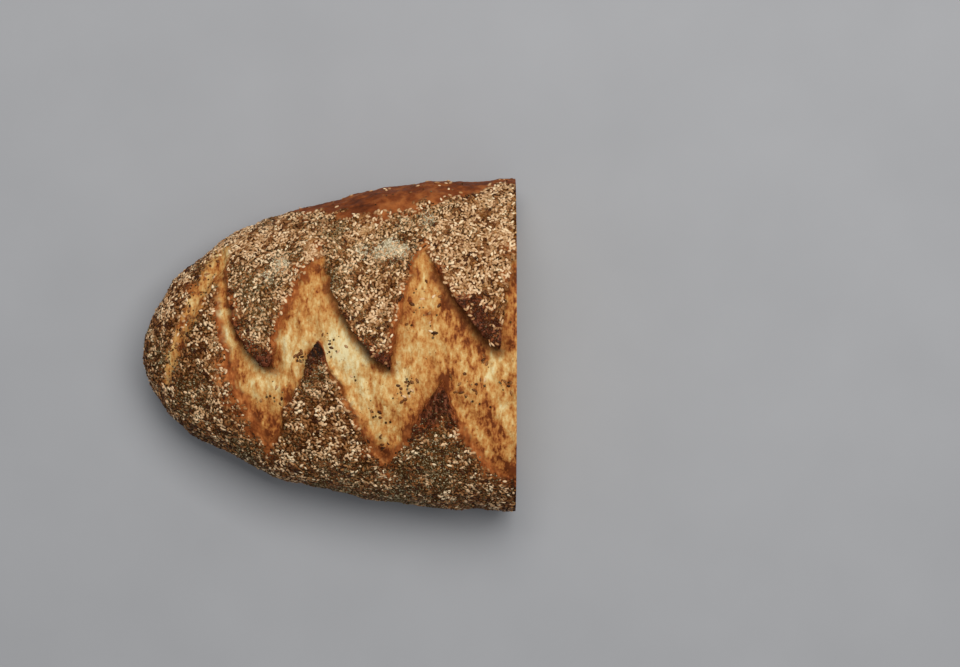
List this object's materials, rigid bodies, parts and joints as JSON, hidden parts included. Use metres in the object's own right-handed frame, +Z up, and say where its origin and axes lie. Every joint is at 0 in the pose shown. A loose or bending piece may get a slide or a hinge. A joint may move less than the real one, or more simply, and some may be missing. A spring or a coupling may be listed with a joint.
{
  "type": "multigrain bread",
  "caption": "Half of a long crusty loaf, cut across, topped with sesame and poppy seeds and scored in a zigzag.",
  "frame": {"origin": "on the table under the middle of the loaf's box", "axes": "+X from the rounded nose towards the cut face, +Y towards the side with the bare flank, +Z up"},
  "size_m": [0.1808, 0.1619, 0.087],
  "materials": {
    "bread": "matt baked crust with seeds, pale crumb on the cut face"
  },
  "bodies": {
    "root": {"loaf": "bread"}
  },
  "joints": []
}
